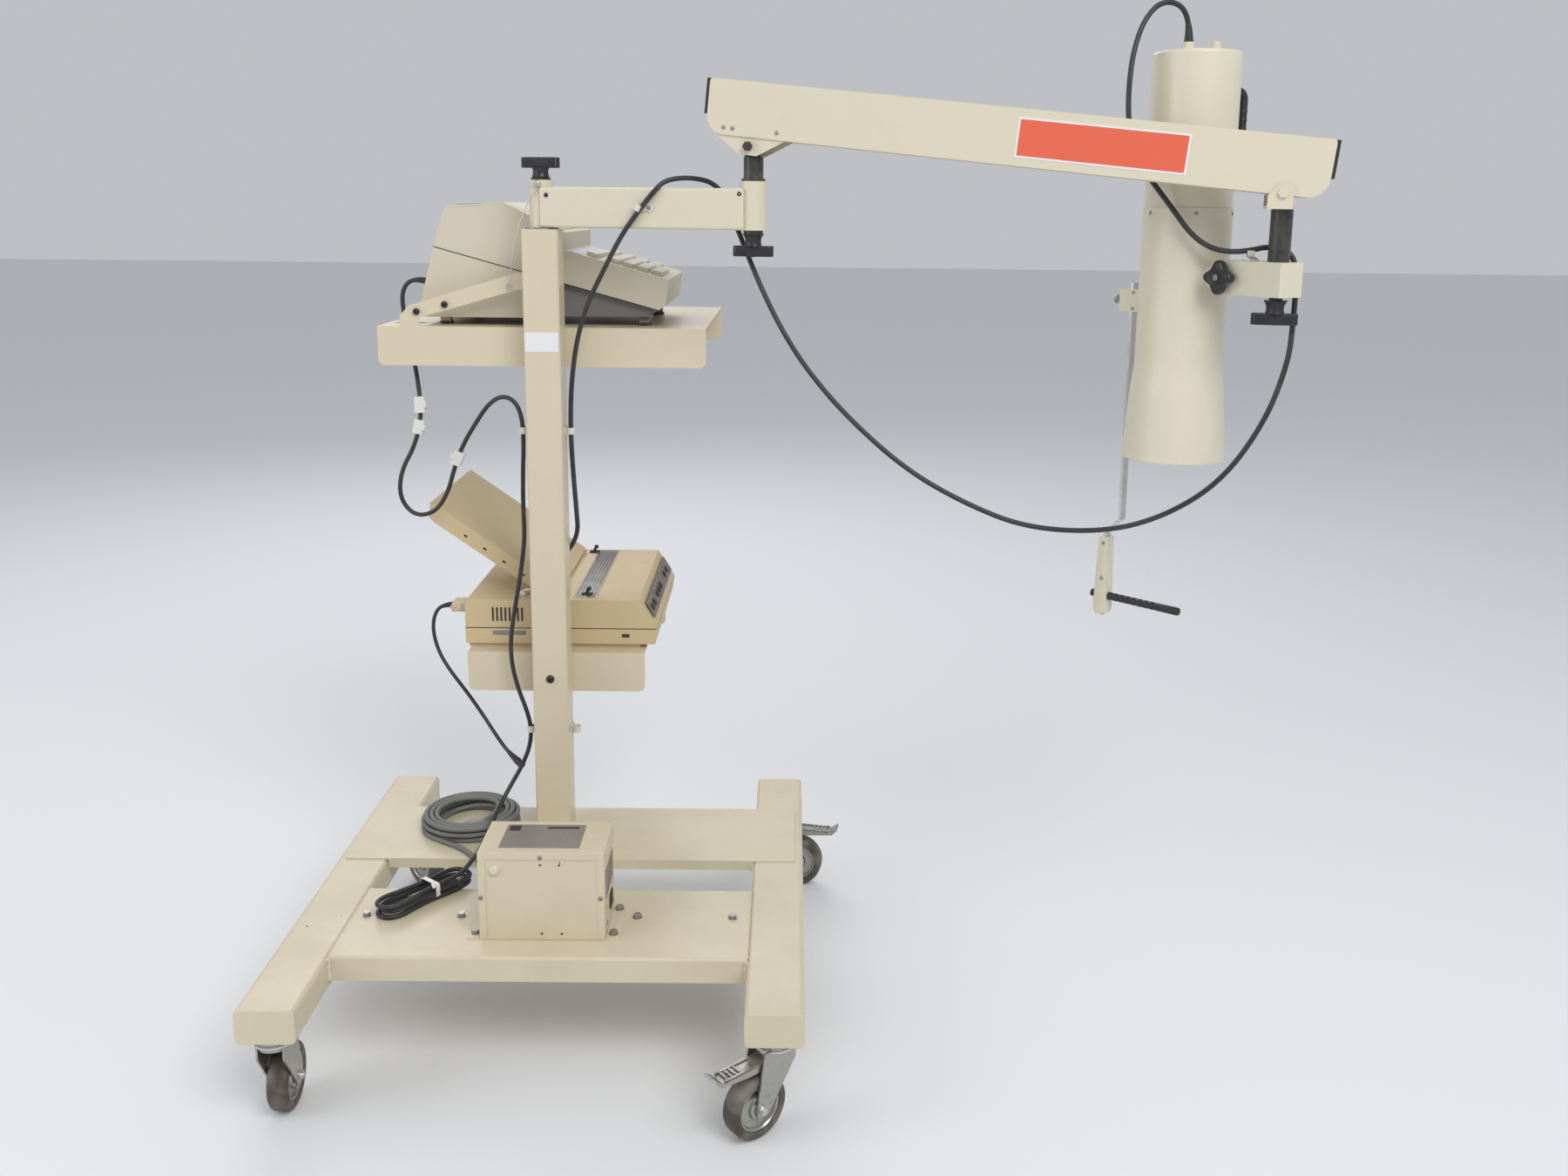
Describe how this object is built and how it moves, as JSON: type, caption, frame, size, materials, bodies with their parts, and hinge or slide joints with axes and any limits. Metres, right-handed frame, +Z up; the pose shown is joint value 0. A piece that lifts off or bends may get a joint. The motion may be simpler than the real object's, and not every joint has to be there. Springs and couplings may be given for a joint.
{
  "type": "thyroid uptake probe cart",
  "caption": "Wheeled cart with a column and two shelves; a swing arm and counterbalanced lift arm carry a collimated detector probe beside a counting console and printer.",
  "frame": {"origin": "on the floor under the column's axis", "axes": "+Z up, +X to the side the probe arm reaches, -Y to the front, where the deck and transformer box are"},
  "size_m": [1.6265, 1.2584, 1.6854],
  "materials": {
    "cream_enamel": "semi-gloss stoved enamel, cream",
    "arm_enamel": "semi-gloss stoved enamel, cream",
    "probe_enamel": "satin cream enamel",
    "console_shell": "fine-textured moulding, off-white",
    "printer_shell": "fine-textured moulding, beige",
    "keys": "moulded, satin",
    "black_plastic": "moulded, satin black",
    "black_steel": "satin black",
    "zinc": "bright zinc plate",
    "inner_steel": "plain steel, hidden",
    "lead_grey": "dull cast lead, hidden",
    "caster_tyre": "moulded rubber, brown-grey",
    "cable_black": "smooth jacket, satin black",
    "cable_grey": "smooth jacket, grey",
    "clip_nylon": "moulded nylon, light grey"
  },
  "bodies": {
    "base": {"left_rail": "cream_enamel", "right_rail": "cream_enamel", "front_deck": "cream_enamel", "rear_cross_tube": "cream_enamel", "rear_plate": "cream_enamel", "column": "cream_enamel", "shoulder_bearing": "inner_steel", "frame_bolts": "zinc", "upper_shelf": "cream_enamel", "lower_shelf": "cream_enamel", "chain_bracket": "cream_enamel", "cable_clips": "clip_nylon", "caster_tops": "zinc", "console_base": "console_shell", "console_cover": "console_shell", "printer_body": "printer_shell", "transformer_box": "cream_enamel", "mains_cord": "cable_black", "data_cord": "cable_black", "mains_hank": "cable_black", "grey_coil": "cable_grey"},
    "front_left_swivel": {"front_left_fork": "zinc"},
    "front_left_roller": {"front_left_wheel": "caster_tyre"},
    "front_left_brake": {"front_left_pedal": "zinc"},
    "front_right_swivel": {"front_right_fork": "zinc"},
    "front_right_roller": {"front_right_wheel": "caster_tyre"},
    "front_right_brake": {"front_right_pedal": "zinc"},
    "rear_left_swivel": {"rear_left_fork": "zinc"},
    "rear_left_roller": {"rear_left_wheel": "caster_tyre"},
    "rear_left_brake": {"rear_left_pedal": "zinc"},
    "rear_right_swivel": {"rear_right_fork": "zinc"},
    "rear_right_roller": {"rear_right_wheel": "caster_tyre"},
    "rear_right_brake": {"rear_right_pedal": "zinc"},
    "swing": {"swing_arm": "arm_enamel", "column_cord": "cable_black"},
    "shoulder_knob": {"shoulder_knob": "black_plastic"},
    "elbow": {"elbow_post": "black_steel"},
    "elbow_knob": {"elbow_knob": "black_plastic"},
    "lift": {"lift_arm": "arm_enamel", "arm_caps": "black_plastic", "swag_cord": "cable_black"},
    "link": {"parallel_link": "inner_steel"},
    "end": {"end_post": "black_steel"},
    "swivel_knob": {"swivel_knob": "black_plastic"},
    "yoke": {"yoke_box": "probe_enamel"},
    "yoke_knob": {"yoke_knob": "black_plastic"},
    "probe": {"probe_body": "probe_enamel", "probe_cap": "probe_enamel", "detector": "lead_grey", "probe_handle": "black_plastic", "gauge_clamp": "probe_enamel", "probe_lead": "cable_black"},
    "gauge": {"gauge_bar": "zinc", "gauge_grip": "black_plastic"},
    "key_1": {"key_1": "keys"},
    "key_2": {"key_2": "keys"},
    "key_3": {"key_3": "keys"},
    "key_4": {"key_4": "keys"},
    "key_5": {"key_5": "keys"},
    "tray": {"paper_tray": "printer_shell"}
  },
  "joints": [
    {"name": "front_left_swivel", "type": "hinge", "parent": "base", "child": "front_left_swivel", "pos_m": [-0.3235, -0.578, 0.14], "axis": [0, 0, 1], "continuous": true},
    {"name": "front_left_roll", "type": "hinge", "parent": "front_left_swivel", "child": "front_left_roller", "pos_m": [-0.32483, -0.54002, 0.05], "axis": [0.9994, 0.0349, 0], "continuous": true},
    {"name": "front_left_brake", "type": "hinge", "parent": "front_left_swivel", "child": "front_left_brake", "pos_m": [-0.32427, -0.55601, 0.116], "axis": [0.9994, 0.0349, 0], "range_deg": [-8, 4]},
    {"name": "front_right_swivel", "type": "hinge", "parent": "base", "child": "front_right_swivel", "pos_m": [0.4185, -0.578, 0.14], "axis": [0, 0, 1], "continuous": true},
    {"name": "front_right_roll", "type": "hinge", "parent": "front_right_swivel", "child": "front_right_roller", "pos_m": [0.38939, -0.60243, 0.05], "axis": [-0.6428, 0.766, 0], "continuous": true},
    {"name": "front_right_brake", "type": "hinge", "parent": "front_right_swivel", "child": "front_right_brake", "pos_m": [0.40165, -0.59214, 0.116], "axis": [-0.6428, 0.766, 0], "range_deg": [-8, 4]},
    {"name": "rear_left_swivel", "type": "hinge", "parent": "base", "child": "rear_left_swivel", "pos_m": [-0.3235, 0.198, 0.14], "axis": [0, 0, 1], "continuous": true},
    {"name": "rear_left_roll", "type": "hinge", "parent": "rear_left_swivel", "child": "rear_left_roller", "pos_m": [-0.29663, 0.17113, 0.05], "axis": [-0.7071, -0.7071, 0], "continuous": true},
    {"name": "rear_left_brake", "type": "hinge", "parent": "rear_left_swivel", "child": "rear_left_brake", "pos_m": [-0.30794, 0.18244, 0.116], "axis": [-0.7071, -0.7071, 0], "range_deg": [-8, 4]},
    {"name": "rear_right_swivel", "type": "hinge", "parent": "base", "child": "rear_right_swivel", "pos_m": [0.4185, 0.198, 0.14], "axis": [0, 0, 1], "continuous": true},
    {"name": "rear_right_roll", "type": "hinge", "parent": "rear_right_swivel", "child": "rear_right_roller", "pos_m": [0.45592, 0.1914, 0.05], "axis": [-0.1736, -0.9848, 0], "continuous": true},
    {"name": "rear_right_brake", "type": "hinge", "parent": "rear_right_swivel", "child": "rear_right_brake", "pos_m": [0.44017, 0.19418, 0.116], "axis": [-0.1736, -0.9848, 0], "range_deg": [-8, 4]},
    {"name": "shoulder", "type": "hinge", "parent": "base", "child": "swing", "pos_m": [0, 0, 1.314], "axis": [0, 0, 1], "range_deg": [-160, 70], "deforming": ["column_cord"]},
    {"name": "shoulder_clamp", "type": "hinge", "parent": "swing", "child": "shoulder_knob", "pos_m": [0, 0, 1.4], "axis": [0, 0, 1], "continuous": true},
    {"name": "elbow", "type": "hinge", "parent": "swing", "child": "elbow", "pos_m": [0.36823, -0.09181, 1.35], "axis": [0, 0, 1], "range_deg": [-90, 90]},
    {"name": "elbow_clamp", "type": "hinge", "parent": "elbow", "child": "elbow_knob", "pos_m": [0.36823, -0.09181, 1.29], "axis": [0, 0, 1], "continuous": true},
    {"name": "lift", "type": "hinge", "parent": "elbow", "child": "lift", "pos_m": [0.36823, -0.09181, 1.452], "axis": [-0.2419, -0.9703, 0], "range_deg": [-30, 15], "deforming": ["swag_cord"]},
    {"name": "link", "type": "hinge", "parent": "elbow", "child": "link", "pos_m": [0.36823, -0.09181, 1.497], "axis": [-0.2419, -0.9703, 0], "range_deg": [-30, 15]},
    {"name": "end_level", "type": "hinge", "parent": "lift", "child": "end", "pos_m": [1.17639, -0.29331, 1.3852], "axis": [-0.2419, -0.9703, 0], "range_deg": [-15, 30]},
    {"name": "yoke_swivel", "type": "hinge", "parent": "end", "child": "yoke", "pos_m": [1.17988, -0.29418, 1.228], "axis": [0, 0, 1], "range_deg": [-90, 8]},
    {"name": "yoke_swivel_clamp", "type": "hinge", "parent": "end", "child": "swivel_knob", "pos_m": [1.17988, -0.29418, 1.2], "axis": [0, 0, 1], "continuous": true},
    {"name": "tilt_clamp", "type": "hinge", "parent": "yoke", "child": "yoke_knob", "pos_m": [1.13749, -0.22633, 1.2545], "axis": [0.848, 0.5299, 0], "continuous": true},
    {"name": "probe_tilt", "type": "hinge", "parent": "yoke", "child": "probe", "pos_m": [1.08025, -0.13474, 1.2545], "axis": [-0.5299, 0.848, 0], "range_deg": [-6, 75], "deforming": ["probe_lead"]},
    {"name": "gauge_slide", "type": "slide", "parent": "probe", "child": "gauge", "axis": [0, 0, 1], "range_m": [0, 0.2]},
    {"name": "key_1_press", "type": "slide", "parent": "base", "child": "key_1", "axis": [-0.2639, 0, -0.9646], "range_m": [0, 0.003], "stiffness_N_per_m": 500, "springref_m": -0.0003},
    {"name": "key_2_press", "type": "slide", "parent": "base", "child": "key_2", "axis": [-0.2639, 0, -0.9646], "range_m": [0, 0.003], "stiffness_N_per_m": 500, "springref_m": -0.0003},
    {"name": "key_3_press", "type": "slide", "parent": "base", "child": "key_3", "axis": [-0.2639, 0, -0.9646], "range_m": [0, 0.003], "stiffness_N_per_m": 500, "springref_m": -0.0003},
    {"name": "key_4_press", "type": "slide", "parent": "base", "child": "key_4", "axis": [-0.2639, 0, -0.9646], "range_m": [0, 0.003], "stiffness_N_per_m": 500, "springref_m": -0.0003},
    {"name": "key_5_press", "type": "slide", "parent": "base", "child": "key_5", "axis": [-0.2639, 0, -0.9646], "range_m": [0, 0.003], "stiffness_N_per_m": 500, "springref_m": -0.0003},
    {"name": "tray_hinge", "type": "hinge", "parent": "base", "child": "tray", "pos_m": [0, 0.1, 0.637], "axis": [0, 1, 0], "range_deg": [0, 30]}
  ],
  "couplings": [
    {"joint": "end_level", "follows": "lift", "ratio": -1},
    {"joint": "link", "follows": "lift", "ratio": 1}
  ]
}
